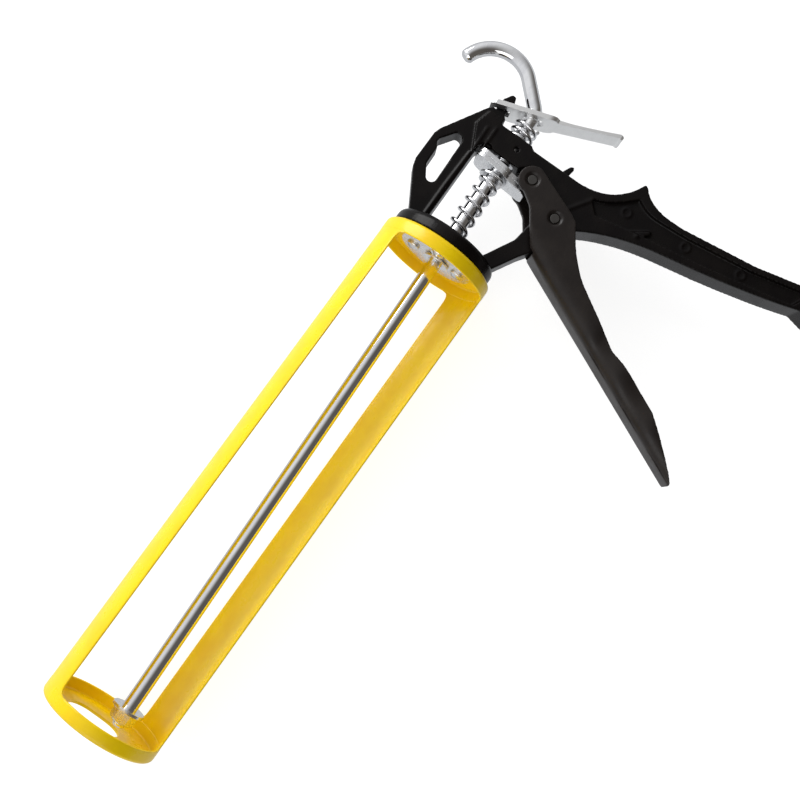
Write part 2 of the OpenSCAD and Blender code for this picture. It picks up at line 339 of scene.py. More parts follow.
@dataclass(frozen=True)
class Finish:
    """What a surface is made of."""

    name: str
    slot: Slot

    def material(self) -> bpy.types.Material:
        """The finish's material, built the first time it is asked for."""
        if self.name in bpy.data.materials:
            return bpy.data.materials[self.name]
        made = bpy.data.materials.new(self.name)
        made.use_nodes = True
        made.node_tree.nodes.clear()
        desk = NodeDesk(made.node_tree)
        shader = desk.add("ShaderNodeBsdfPrincipled")
        self.wire(desk, shader)
        desk.add("ShaderNodeOutputMaterial", {"Surface": shader.outputs[0]})
        return made

    def wire(self, desk: NodeDesk, shader: bpy.types.Node) -> None:
        """Sets and links the shader's sockets."""
        raise NotImplementedError


@dataclass(frozen=True)
class Paint(Finish):
    """Sprayed enamel or powder coat on metal, with patches of an edge colour on its sharp outer edges: worn
    paint, and on the yellow partly painted edge shade.
    """

    colour: tuple[float, float, float] = (0.5, 0.5, 0.5)
    deep: tuple[float, float, float] = (0.4, 0.4, 0.4)
    edge_colour: tuple[float, float, float] = (0.45, 0.44, 0.42)
    rough: Point = (0.25, 0.4)
    coat: float = 0.0
    grain: float = 1800.0
    wave: float = 70.0
    relief: float = 0.00002
    edge_marks: float = 0.4
    shine: float = 0.5

    def wire(self, desk: NodeDesk, shader: bpy.types.Node) -> None:
        """Wires colour, the edge colour, smears and the grain's relief."""
        handling = desk.add("ShaderNodeGroup", node_tree=handling_group())
        handling.inputs["Low"].default_value, handling.inputs["High"].default_value = self.rough
        colour = desk.mix(handling.outputs["Smear"], rgba(self.colour), rgba(self.deep))
        edge_marks = desk.add("ShaderNodeGroup", node_tree=edge_marks_group())
        desk.tree.links.new(colour, edge_marks.inputs["Coat Colour"])
        edge_marks.inputs["Bare Colour"].default_value = rgba(self.edge_colour)
        edge_marks.inputs["Amount"].default_value = self.edge_marks
        grain = desk.add("ShaderNodeGroup", node_tree=cast_grain_group())
        grain.inputs["Grain Scale"].default_value = self.grain
        grain.inputs["Wave Scale"].default_value = self.wave
        bump = desk.add("ShaderNodeBump", {"Height": grain.outputs["Height"], "Distance": self.relief})
        link = desk.tree.links.new
        link(edge_marks.outputs["Colour"], shader.inputs["Base Color"])
        link(edge_marks.outputs["Mask"], shader.inputs["Metallic"])
        link(handling.outputs["Roughness"], shader.inputs["Roughness"])
        link(bump.outputs[0], shader.inputs["Normal"])
        shader.inputs["Coat Weight"].default_value = self.coat
        shader.inputs["Coat Roughness"].default_value = 0.12
        shader.inputs["Specular IOR Level"].default_value = self.shine


@dataclass(frozen=True)
class Plating(Finish):
    """Chrome or zinc on steel, brushed or drawn along one direction."""

    colour: tuple[float, float, float] = (0.75, 0.76, 0.78)
    deep: tuple[float, float, float] = (0.5, 0.5, 0.52)
    rough: Point = (0.08, 0.2)
    smear_scale: float = 160.0
    stretch: tuple[float, float, float] = (1.0, 1.0, 1.0)
    scratch: float = 900.0
    relief: float = 0.000008
    edge_marks: float = 0.2

    def wire(self, desk: NodeDesk, shader: bpy.types.Node) -> None:
        """Wires colour, smears and the drawn lines' relief."""
        handling = desk.add("ShaderNodeGroup", node_tree=handling_group())
        handling.inputs["Low"].default_value, handling.inputs["High"].default_value = self.rough
        handling.inputs["Scale"].default_value = self.smear_scale
        handling.inputs["Stretch"].default_value = self.stretch
        colour = desk.mix(handling.outputs["Smear"], rgba(self.colour), rgba(self.deep))
        edge_marks = desk.add("ShaderNodeGroup", node_tree=edge_marks_group())
        desk.tree.links.new(colour, edge_marks.inputs["Coat Colour"])
        edge_marks.inputs["Bare Colour"].default_value = rgba(self.deep)
        edge_marks.inputs["Amount"].default_value = self.edge_marks
        where = desk.add("ShaderNodeTexCoord").outputs["Object"]
        drawn = desk.add("ShaderNodeMapping", {"Vector": where, "Scale": self.stretch})
        lines = desk.noise(drawn.outputs[0], self.scratch, 4.0, 0.6)
        bump = desk.add("ShaderNodeBump", {"Height": lines, "Distance": self.relief})
        link = desk.tree.links.new
        link(edge_marks.outputs["Colour"], shader.inputs["Base Color"])
        link(handling.outputs["Roughness"], shader.inputs["Roughness"])
        link(bump.outputs[0], shader.inputs["Normal"])
        shader.inputs["Metallic"].default_value = 1.0


# The yellow's dark brown edge colour puts dark patches on sharp outer edges: partly chipped enamel, partly
# painted shade along the rolled edges.
YELLOW_PAINT = Paint(
    "Yellow enamel", Slot.YELLOW, colour=(0.94, 0.66, 0.0), deep=(0.89, 0.59, 0.0), edge_colour=(0.30, 0.24, 0.12),
    rough=(0.26, 0.36), coat=0.12, grain=900.0, wave=80.0, relief=0.000015, edge_marks=0.4, shine=0.3,
)
BLACK_PAINT = Paint(
    "Black casting paint", Slot.BLACK, colour=(0.0035, 0.0026, 0.0026), deep=(0.006, 0.0045, 0.004),
    edge_colour=(0.10, 0.09, 0.085), rough=(0.2, 0.32), grain=1300.0, wave=90.0, relief=0.00005, edge_marks=0.25,
    shine=0.14,
)
TRIGGER_PAINT = Paint(
    "Dark brown-black paint", Slot.TRIGGER, colour=(0.013, 0.010, 0.009), deep=(0.018, 0.014, 0.012),
    edge_colour=(0.12, 0.11, 0.10), rough=(0.3, 0.42), grain=1500.0, wave=60.0, relief=0.00005, edge_marks=0.3, shine=0.25,
)
CHROME = Plating(
    "Polished chrome", Slot.CHROME, colour=(0.92, 0.92, 0.92), deep=(0.80, 0.80, 0.82), rough=(0.05, 0.15),
    smear_scale=240.0, stretch=(0.35, 1.0, 1.0), scratch=700.0, relief=0.000012,
)
ZINC = Plating(
    "Zinc plate", Slot.ZINC, colour=(0.88, 0.89, 0.90), deep=(0.79, 0.79, 0.80), rough=(0.2, 0.36),
    stretch=(1.0, 1.0, 3.0), scratch=1200.0, relief=0.00002,
)
PALE_ZINC = Plating(
    "Bright zinc plate", Slot.ZINC, colour=(0.96, 0.96, 0.95), deep=(0.91, 0.91, 0.90), rough=(0.3, 0.4),
    stretch=(1.0, 1.0, 3.0), scratch=1200.0, relief=0.00002,
)
SPRING_STEEL = Plating(
    "Spring wire", Slot.SPRING, colour=(0.90, 0.90, 0.91), deep=(0.76, 0.76, 0.77), rough=(0.14, 0.26),
    scratch=2200.0, relief=0.00001,
)
DARK_STEEL = Plating(
    "Oiled steel", Slot.DARK, colour=(0.10, 0.095, 0.09), deep=(0.06, 0.055, 0.05), rough=(0.25, 0.4),
    scratch=1500.0, relief=0.00002,
)


# ---------------------------------------------------------------- mesh helpers


def fillet(corners: Sequence[tuple[float, float, float]], steps: int = 4) -> list[Point]:
    """Rounds the corners of a closed outline.

    Args:
        corners: x, y and radius of each corner.
        steps: points on each rounded corner, less one.

    Returns:
        The outline's points.
    """
    out: list[Point] = []
    count = len(corners)
    for i, (x, y, radius) in enumerate(corners):
        here = Vector((x, y))
        before = Vector(corners[i - 1][:2]) - here
        after = Vector(corners[(i + 1) % count][:2]) - here
        half = before.angle(after) / 2
        if radius <= 0 or half > math.pi / 2 - 0.01:
            out.append((x, y))
            continue
        reach = min(radius / math.tan(half), 0.49 * before.length, 0.49 * after.length)
        radius = reach * math.tan(half)
        centre = here + (before.normalized() + after.normalized()).normalized() * radius / math.sin(half)
        start = here + before.normalized() * reach - centre
        end = here + after.normalized() * reach - centre
        turn = math.pi - 2 * half
        for k in range(steps + 1):
            a, b = math.sin((1 - k / steps) * turn), math.sin(k / steps * turn)
            p = centre + (start * a + end * b) / math.sin(turn)
            out.append((p.x, p.y))
    return out


def loft(rings: Sequence[Sequence[Vector]], closed: bool = False) -> bmesh.types.BMesh:
    """Skins rings of points that have the same count; open ends get caps.

    Args:
        rings: the rings in order.
        closed: joins the last ring to the first.

    Returns:
        The closed shell.
    """
    bm = bmesh.new()
    rows = [[bm.verts.new(p) for p in ring] for ring in rings]
    follow = rows[1:] + rows[:1] if closed else rows[1:]
    for a, b in zip(rows, follow):
        n = len(a)
        for k in range(n):
            bm.faces.new((a[k], a[(k + 1) % n], b[(k + 1) % n], b[k]))
    if not closed:
        bm.faces.new(rows[0][::-1])
        bm.faces.new(rows[-1])
    bmesh.ops.recalc_face_normals(bm, faces=bm.faces)
    return bm


def lathe(profile: Sequence[Point], segments: int = 96) -> bmesh.types.BMesh:
    """Turns a closed profile of x and radius round the x axis.

    Args:
        profile: the section's points.
        segments: faces round the axis.

    Returns:
        The turned shell.
    """
    turns = [math.tau * k / segments for k in range(segments)]
    rings = [[Vector((x, r * math.sin(a), r * math.cos(a))) for a in turns] for x, r in profile]
    return loft(rings, closed=True)


def sweep(path: Sequence[Vector], radii: Sequence[float], sides: int = 40) -> bmesh.types.BMesh:
    """A round bar along a path in the middle plane.

    Args:
        path: points with y = 0.
        radii: the bar's radius at each point.
        sides: faces round the bar.

    Returns:
        The bar's shell.
    """
    turns = [math.tau * k / sides for k in range(sides)]
    sideways = Vector((0, 1, 0))
    rings = []
    for i, p in enumerate(path):
        along = (path[min(i + 1, len(path) - 1)] - path[max(i - 1, 0)]).normalized()
        out = Vector((-along.z, 0, along.x))
        rings.append([p + radii[i] * (out * math.cos(a) + sideways * math.sin(a)) for a in turns])
    return loft(rings)


def slab(outline: Sequence[Point], y0: float, y1: float) -> bmesh.types.BMesh:
    """A flat plate with an outline in x and z, between two y planes."""
    return loft([[Vector((x, y, z)) for x, z in outline] for y in (y0, y1)])


def ridge(points: Sequence[Point], y: float, width: float, height: float) -> list[bmesh.types.BMesh]:
    """A raised rounded line on a side face.

    Args:
        points: the line's points in x and z.
        y: the side face's y.
        width: half the line's width.
        height: how far it stands up.

    Returns:
        One shell for each stretch.
    """
    made = []
    for (x0, z0), (x1, z1) in zip(points, points[1:]):
        a, b = Vector((x0, 0, z0)), Vector((x1, 0, z1))
        along = (b - a).normalized()
        across = Vector((-along.z, 0, along.x))
        ring = [(math.cos(t) * width, math.sin(t) * height) for t in (math.tau * k / 10 for k in range(10))]
        rise = 1.0 if y > 0 else -1.0
        stops = (a - along * width * 0.5, b + along * width * 0.5)
        made.append(loft([[p + across * u + Vector((0, y + v * rise, 0)) for u, v in ring] for p in stops]))
    return made


def joined(parts: Sequence[bmesh.types.BMesh]) -> bmesh.types.BMesh:
    """Several shells as one mesh; the parts are used up."""
    whole = bmesh.new()
    for part in parts:
        mesh = bpy.data.meshes.new("part")
        part.to_mesh(mesh)
        part.free()
        whole.from_mesh(mesh)
        bpy.data.meshes.remove(mesh)
    return whole


def cad_copy(node: str) -> bmesh.types.BMesh:
    """A CAD node's shell, doubles merged and flat faces whole, in millimetres in the barrel's frame."""
    bm = bmesh.new()
    bm.from_mesh(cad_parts[node].data)
    bm.transform(PLACE.inverted())
    bmesh.ops.remove_doubles(bm, verts=bm.verts, dist=0.002)
    bmesh.ops.dissolve_limit(bm, angle_limit=math.radians(0.8), verts=bm.verts, edges=bm.edges)
    return bm


def stand(name: str, bm: bmesh.types.BMesh, on_rod: bool = False) -> bpy.types.Object:
    """Makes an object of a shell.

    Args:
        name: the piece's name.
        bm: the shell in millimetres; it is used up.
        on_rod: the shell lies on the rod's drooping line.

    Returns:
        The object, at the origin, with its place in its mesh.
    """
    bm.transform(PLACE @ ROD_LINE if on_rod else PLACE)
    mesh = bpy.data.meshes.new(name)
    bm.to_mesh(mesh)
    bm.free()
    obj = bpy.data.objects.new(name, mesh)
    bpy.context.scene.collection.objects.link(obj)
    return obj


def settle(obj: bpy.types.Object, crease: float = 32.0) -> bpy.types.Object:
    """Turns an object with modifiers into a plain mesh, smooth but for its sharp edges.

    Args:
        obj: the object.
        crease: edges that turn more than this many degrees stay sharp.

    Returns:
        The same object.
    """
    if obj.modifiers:
        graph = bpy.context.evaluated_depsgraph_get()
        mesh = bpy.data.meshes.new_from_object(obj.evaluated_get(graph), depsgraph=graph)
        obj.modifiers.clear()
        obj.data = mesh
    obj.data.shade_smooth()
    obj.data.set_sharp_from_angle(angle=math.radians(crease))
    return obj


def eased(obj: bpy.types.Object, width: float, steps: int = 3) -> bpy.types.Object:
    """Rounds an object's sharp edges.

    Args:
        obj: the object.
        width: the bevel's width in millimetres.
        steps: faces across the bevel.

    Returns:
        The same object.
    """
    bevel = obj.modifiers.new("Eased edges", "BEVEL")
    bevel.width = width * MM
    bevel.segments = steps
    bevel.limit_method = "ANGLE"
    bevel.angle_limit = math.radians(32)
    bevel.miter_outer = "MITER_ARC"
    weigh = obj.modifiers.new("Even shading", "WEIGHTED_NORMAL")
    weigh.keep_sharp = True
    graph = bpy.context.evaluated_depsgraph_get()
    obj.data.shade_smooth()
    mesh = bpy.data.meshes.new_from_object(obj.evaluated_get(graph), depsgraph=graph)
    obj.modifiers.clear()
    obj.data = mesh
    return obj


def cast(
    obj: bpy.types.Object, voxel: float, passes: int, form: Callable[[Vector], Vector] | None = None
) -> bpy.types.Object:
    """Turns overlapping shells into one cast skin with soft edges and corners.

    Args:
        obj: the object.
        voxel: the skin's cell in millimetres.
        passes: smoothing passes.
        form: moves a point of the skin, in millimetres in the barrel's frame.

    Returns:
        The same object.
    """
    skin = obj.modifiers.new("Cast skin", "REMESH")
    skin.mode = "VOXEL"
    skin.voxel_size = voxel * MM
    skin.use_smooth_shade = True
    ease = obj.modifiers.new("Soft corners", "SMOOTH")
    ease.factor = 0.5
    ease.iterations = passes
    settle(obj, 180.0)
    if form:
        back = PLACE.inverted()
        for vertex in obj.data.vertices:
            vertex.co = PLACE @ form(back @ vertex.co)
    return obj


def finished(obj: bpy.types.Object, body: Body, finishes: Sequence[Finish], *nodes: str) -> bpy.types.Object:
    """Dresses a piece and ties it to the frame.

    Args:
        obj: the piece.
        body: what it rides on.
        finishes: its materials.
        nodes: the CAD nodes it stands for.

    Returns:
        The same object.
    """
    obj.data.materials.clear()
    for finish in finishes:
        obj.data.materials.append(finish.material())
    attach(obj, body.value)
    if nodes:
        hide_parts(*nodes)
    LOG.info("%s: %d faces, rides on %s", obj.name, len(obj.data.polygons), body.value)
    return obj


# ---------------------------------------------------------------- geometry nodes


def coil_tree() -> bpy.types.NodeTree:
    """A wire wound along z from z = 0, with closed turns at both ends.

    Returns:
        The geometry tree, built once.
    """
    name = "Wound wire"
    if name in bpy.data.node_groups:
        return bpy.data.node_groups[name]
    tree = new_group(
        name,
        "GeometryNodeTree",
        [
            ("Geometry", "NodeSocketGeometry", None),
            ("Turns", FLOAT, 6.0),
            ("Closed Turns", FLOAT, 0.5),
            ("Coil Radius", FLOAT, 0.005),
            ("Wire Radius", FLOAT, 0.001),
            ("Length", FLOAT, 0.03),
            ("Steps", "NodeSocketInt", 32),
            ("Sides", "NodeSocketInt", 14),
            ("Finish", "NodeSocketMaterial", None),
        ],
        [("Geometry", "NodeSocketGeometry")],
    )
    desk = NodeDesk(tree)
    given, result = ends(tree)
    size = given.outputs
    helix = desk.add(
        "GeometryNodeCurveSpiral",
        {
            "Resolution": size["Steps"],
            "Rotations": size["Turns"],
            "Start Radius": size["Coil Radius"],
            "End Radius": size["Coil Radius"],
            "Height": size["Length"],
        },
    )
    wire = desk.math("MULTIPLY", size["Wire Radius"], 2.0)
    closed_run = desk.math("MULTIPLY", desk.math("MULTIPLY", size["Closed Turns"], 2.0), wire)
    open_run = desk.math("SUBTRACT", desk.math("SUBTRACT", size["Length"], wire), closed_run)
    open_turns = desk.math("SUBTRACT", size["Turns"], desk.math("MULTIPLY", size["Closed Turns"], 2.0))
    pitch = desk.math("DIVIDE", open_run, open_turns)
    turn = desk.math("MULTIPLY", desk.add("GeometryNodeSplineParameter").outputs["Factor"], size["Turns"])
    first = desk.math("MULTIPLY", desk.math("MINIMUM", turn, size["Closed Turns"]), wire)
    past_first = desk.math("SUBTRACT", turn, size["Closed Turns"])
    middle = desk.math("MINIMUM", desk.math("MAXIMUM", past_first, 0.0), open_turns)
    last = desk.math("MAXIMUM", desk.math("SUBTRACT", past_first, open_turns), 0.0)
    climbed = desk.math("ADD", first, desk.math("MULTIPLY", middle, pitch))
    height = desk.math("ADD", climbed, desk.math("MULTIPLY", last, wire))
    height = desk.math("ADD", height, size["Wire Radius"])
    apart = desk.add("ShaderNodeSeparateXYZ", {0: desk.add("GeometryNodeInputPosition").outputs[0]})
    where = desk.add("ShaderNodeCombineXYZ", {0: apart.outputs[0], 1: apart.outputs[1], 2: height})
    wound = desk.add("GeometryNodeSetPosition", {"Geometry": helix.outputs[0], "Position": where.outputs[0]})
    section = desk.add(
        "GeometryNodeCurvePrimitiveCircle", {"Resolution": size["Sides"], "Radius": size["Wire Radius"]}
    )
    solid = desk.add(
        "GeometryNodeCurveToMesh",
        {"Curve": wound.outputs[0], "Profile Curve": section.outputs[0], "Fill Caps": True},
    )
    smooth = desk.add("GeometryNodeSetShadeSmooth", {"Geometry": solid.outputs[0]})
    real = desk.add("GeometryNodeRealizeInstances", {"Geometry": smooth.outputs[0]})
    dressed = desk.add("GeometryNodeSetMaterial", {"Geometry": real.outputs[0], "Material": size["Finish"]})
    tree.links.new(dressed.outputs[0], result.inputs[0])
    return tree


def ring_tree() -> bpy.types.NodeTree:
    """Copies of one object set round a circle in the z = 0 plane, each turned its own way.

    Returns:
        The geometry tree, built once.
    """
    name = "Set in a ring"
    if name in bpy.data.node_groups:
        return bpy.data.node_groups[name]
    tree = new_group(
        name,
        "GeometryNodeTree",
        [
            ("Geometry", "NodeSocketGeometry", None),
            ("Count", "NodeSocketInt", 4),
            ("Ring Radius", FLOAT, 0.012),
            ("Seat Height", FLOAT, 0.0),
            ("Seed", "NodeSocketInt", 3),
            ("Part", "NodeSocketObject", None),
            ("Finish", "NodeSocketMaterial", None),
        ],
        [("Geometry", "NodeSocketGeometry")],
    )
    desk = NodeDesk(tree)
    given, result = ends(tree)
    size = given.outputs
    circle = desk.add("GeometryNodeMeshCircle", {"Vertices": size["Count"], "Radius": size["Ring Radius"]})
    lift = desk.add("ShaderNodeCombineXYZ", {2: size["Seat Height"]})
    seats = desk.add("GeometryNodeSetPosition", {"Geometry": circle.outputs[0], "Offset": lift.outputs[0]})
    part = desk.add("GeometryNodeObjectInfo", {"Object": size["Part"]})
    angle = desk.add("FunctionNodeRandomValue", {"Max": math.pi, "Seed": size["Seed"]}, data_type="FLOAT")
    turn = desk.add("ShaderNodeCombineXYZ", {2: angle.outputs["Value"]})
    spin = desk.add("FunctionNodeEulerToRotation", {0: turn.outputs[0]})
    copies = desk.add(
        "GeometryNodeInstanceOnPoints",
        {"Points": seats.outputs[0], "Instance": part.outputs["Geometry"], "Rotation": spin.outputs[0]},
    )
    real = desk.add("GeometryNodeRealizeInstances", {"Geometry": copies.outputs[0]})
    dressed = desk.add("GeometryNodeSetMaterial", {"Geometry": real.outputs[0], "Material": size["Finish"]})
    tree.links.new(dressed.outputs[0], result.inputs[0])
    return tree


def grown(tree: bpy.types.NodeTree, sizes: dict[str, object]) -> bmesh.types.BMesh:
    """Runs a geometry tree once and returns its mesh, in millimetres.

    Args:
        tree: the geometry tree.
        sizes: the values of its named inputs.

    Returns:
        The mesh it makes.
    """
    host = bpy.data.objects.new("host", bpy.data.meshes.new("host"))
    bpy.context.scene.collection.objects.link(host)
    maker = host.modifiers.new("Maker", "NODES")
    maker.node_group = tree
    for item in tree.interface.items_tree:
        if item.in_out == "INPUT" and item.name in sizes:
            maker[item.identifier] = sizes[item.name]
    host.update_tag()
    graph = bpy.context.evaluated_depsgraph_get()
    mesh = bpy.data.meshes.new_from_object(host.evaluated_get(graph), depsgraph=graph)
    bm = bmesh.new()
    bm.from_mesh(mesh)
    bm.transform(Matrix.Scale(1 / MM, 4))
    bmesh.ops.recalc_face_normals(bm, faces=bm.faces)
    bpy.data.objects.remove(host)
    bpy.data.meshes.remove(mesh)
    return bm


ALONG_X = Matrix.Rotation(math.radians(90), 4, "Y")


# ---------------------------------------------------------------- sub-assemblies


@dataclass
class Cradle:
    """The two pressed cups and the straps between them."""

    bay: float = 240.7
    radius: float = 28.0
    wall: float = 1.3
    front_depth: float = 6.6
    rear_depth: float = 6.9
    hole: float = 15.6
    nozzle: float = 10.0
    nozzle_run: float = 6.0
    strap_outer: float = 27.9
    strap_inner: float = 26.9
    strap_half: float = 32.0
    flare: float = 3.0
    strap_places: dict[str, float] = field(default_factory=lambda: {"upper": 15.0, "lower": 208.5})

    def section(self, depth: float, hole: float) -> list[Point]:
        """A cup's section from its hole's edge round the wall and back, floor at x = 0.

        Args:
            depth: the cup's depth.
            hole: where the floor ends.

        Returns:
            Points of x and radius.
        """
        inner = self.radius - self.wall
        return fillet(
            [
                (0, hole, 0.25), (0, self.radius, 1.9), (depth, self.radius, 0.6),
                (depth, inner, 0.6), (self.wall, inner, 0.9), (self.wall, hole, 0.25),
            ],
            5,
        )

    def rear_cup(self) -> None:
        """The cup that turns on the body's spigot."""
        bm = lathe(self.section(self.rear_depth, self.hole), 128)
        bm.transform(Matrix.Translation((-self.rear_depth, 0, 0)))
        finished(settle(stand("rear_cup_pressing", bm), 40), Body.CRADLE, [YELLOW_PAINT], "rear_cup")

    def front_cup(self) -> None:
        """The cup with the nozzle slot: its section's inner part follows the slot's outline."""
        count = 128
        end = self.bay + self.front_depth
        rings = []
        for x, r in self.section(self.front_depth, self.nozzle):
            share = max(0.0, 1 - (r - self.nozzle) / 6.0)
            ring = []
            for k in range(count):
                a = math.tau * k / count
                shift = self.nozzle_run / 2 * (1 + max(-1.0, min(1.0, math.cos(a) * 5)))
                ring.append(Vector((end - x, r * math.sin(a), r * math.cos(a) + shift * share)))
            rings.append(ring)
        obj = settle(stand("front_cup_pressing", loft(rings, closed=True)), 40)
        finished(obj, Body.CRADLE, [YELLOW_PAINT], "front_cup")

    def strap(self, name: str, middle: float) -> None:
        """One strap, with flared feet and rolled edges.

        Args:
            name: which strap.
            middle: where its middle lies, from +z towards +y, in degrees.
        """
        tuck, reach = 1.0, 6.0
        stops = [-tuck, 0, 0.4, 0.9, 1.6, 2.5, 3.7, 5.0, reach]
        stops += [reach + (self.bay - 2 * reach) * k / 24 for k in range(1, 24)]
        stops += [self.bay - s for s in reversed(stops[:9])]
        chord = self.strap_outer * math.sin(math.radians(self.strap_half))
        thick = self.strap_outer - self.strap_inner
        rolled = [math.pi * k / 6 for k in range(7)]
        rings = []
        for x in stops:
            near = min(max(min(x, self.bay - x), 0.0) / 5.0, 1.0)
            half = math.asin((chord + self.flare * (1 - math.sqrt(near)) ** 2) / self.strap_outer)
            lip = thick / 2 / self.strap_outer
            edge = [(half - lip + lip * math.sin(t), thick / 2 * math.cos(t)) for t in rolled]
            across = [(half - lip) * (1 - 2 * k / 20) for k in range(21)]
            loop = [(a, thick / 2) for a in reversed(across)][:-1]
            loop += [(a, h) for a, h in edge]
            loop += [(a, -thick / 2) for a in across][1:-1]
            loop += [(-a, h) for a, h in reversed(edge)][:-1]
            mid = (self.strap_outer + self.strap_inner) / 2
            turn = math.radians(middle)
            polar = [(turn + a, mid + h) for a, h in loop]
            rings.append([Vector((x, r * math.sin(a), r * math.cos(a))) for a, r in polar])
        obj = settle(stand(f"{name}_strap_strip", loft(rings)), 50)
        finished(obj, Body.CRADLE, [YELLOW_PAINT], f"{name}_strap")

    def build(self) -> None:
        """Makes the cradle's pieces."""
        self.rear_cup()
        self.front_cup()
        for name, middle in self.strap_places.items():
            self.strap(name, middle)


@dataclass
class CastBody:
    """The casting with its retaining plate, screws, bushes and pivot pin."""

    voxel: float = 0.5
    passes: int = 4
    face: float = 7.5
    leg_face: float = 5.5
    panel: float = 5.3
    screw_count: int = 4
    screw_ring: float = 12.0
    plate_front: float = -4.0
    mark_radius: float = 2.1

    def raised_lines(self) -> list[bmesh.types.BMesh]:
        """The casting's raised lines, bosses and web on both sides."""
        made: list[bmesh.types.BMesh] = []
        circle = [math.tau * k / 16 for k in range(17)]
        r = self.mark_radius
        for side in (1, -1):
            made += ridge([(-16, 15.6), (-34, 15.8), (-53, 15.4)], side * self.leg_face, 0.8, 0.7)
            made += ridge([(-54.2, 15.0), (-66.5, 15.4)], side * self.face, 0.55, 0.5)
            made += ridge([(-56.5, 11.6), (-68.5, 11.8)], side * self.face, 0.55, 0.5)
            made += ridge([(-57.1, -36.2), (-67.2, -42.8)], side * self.face, 0.7, 0.45)
            for x, z in ((-72.4, -59.0), (-75.0, -90.2), (-79.3, -118.0)):
                round_mark = [(x + r * math.cos(t), z + r * math.sin(t)) for t in circle]
                made += ridge(round_mark, side * self.panel, 0.45, 0.4)
            web = fillet([(-59.8, -56.5, 0.5), (-64.6, -69.4, 0.5), (-74.2, -77.2, 1.0)], 3)
            made.append(slab(web, side * 4.0, side * (self.face - 0.9)))
            made += ridge([(-65.0, -68.2), (-65.2, -68.9)], side * self.face, 0.9, 0.6)
        return made

    def casting(self) -> None:
        """The one cast skin: flange, legs, block and handle."""
        obj = stand("cast_body", joined([cad_copy("body_casting"), *self.raised_lines()]))
        finished(cast(obj, self.voxel, self.passes), Body.FRAME, [BLACK_PAINT], "body_casting")

    def screw(self) -> bpy.types.Object:
        """One slotted pan-head screw standing on z = 0."""
        shank = [(-5.8, 0.02, 0), (-5.8, 1.1, 0.2), (0, 1.2, 0)]
        head = [(0, 3.3, 0.15), (1.0, 3.3, 0.7), (1.9, 1.4, 1.2), (1.9, 0.02, 0)]
        profile = fillet([*shank, *head], 4)
        bm = lathe(profile, 32)
        bm.transform(Matrix.Rotation(math.radians(-90), 4, "Y"))
        blank = stand_plain("screw_blank", bm)
        cutter = bmesh.new()
        slot = Matrix.Translation((0, 0, 1.75)) @ Matrix.Diagonal((8.0, 0.9, 1.3, 1.0))
        bmesh.ops.create_cube(cutter, size=1.0, matrix=slot)
        tool = stand_plain("screw_slot", cutter)
        cut = blank.modifiers.new("Slot", "BOOLEAN")
        cut.object = tool
        cut.operation = "DIFFERENCE"
        cut.solver = "EXACT"
        settle(blank, 30)
        bpy.data.objects.remove(tool)
        return blank

    def screws(self) -> None:
        """The retaining screws, set round the spigot."""
        part = self.screw()
        sizes = {
            "Count": self.screw_count, "Ring Radius": self.screw_ring * MM, "Seat Height": 0.0, "Part": part,
            "Finish": ZINC.material(),
        }
        bm = grown(ring_tree(), sizes)
        bpy.data.objects.remove(part)
        bm.transform(Matrix.Translation((self.plate_front, 0, 0)) @ ALONG_X)
        finished(settle(stand("retaining_screw_set", bm), 30), Body.FRAME, [ZINC], "retaining_screws")

    def turned(self) -> None:
        """The bushes, pin and retaining plate, with eased edges."""
        for node, name, width, finish in (
            ("retaining_plate", "retaining_disc", 0.25, ZINC),
            ("guide_bush", "guide_bush_turned", 0.2, ZINC),
            ("rear_bush", "rear_bush_turned", 0.2, ZINC),
            ("trigger_pin", "pivot_pin", 0.35, DARK_STEEL),
        ):
            finished(eased(stand(name, cad_copy(node)), width), Body.FRAME, [finish], node)

    def build(self) -> None:
        """Makes the body's pieces."""
        self.casting()
        self.screws()
        self.turned()


def stand_plain(name: str, bm: bmesh.types.BMesh) -> bpy.types.Object:
    """An object of a shell in millimetres, left at its own origin."""
    bm.transform(Matrix.Scale(MM, 4))
    mesh = bpy.data.meshes.new(name)
    bm.to_mesh(mesh)
    bm.free()
    obj = bpy.data.objects.new(name, mesh)
    bpy.context.scene.collection.objects.link(obj)
    return obj


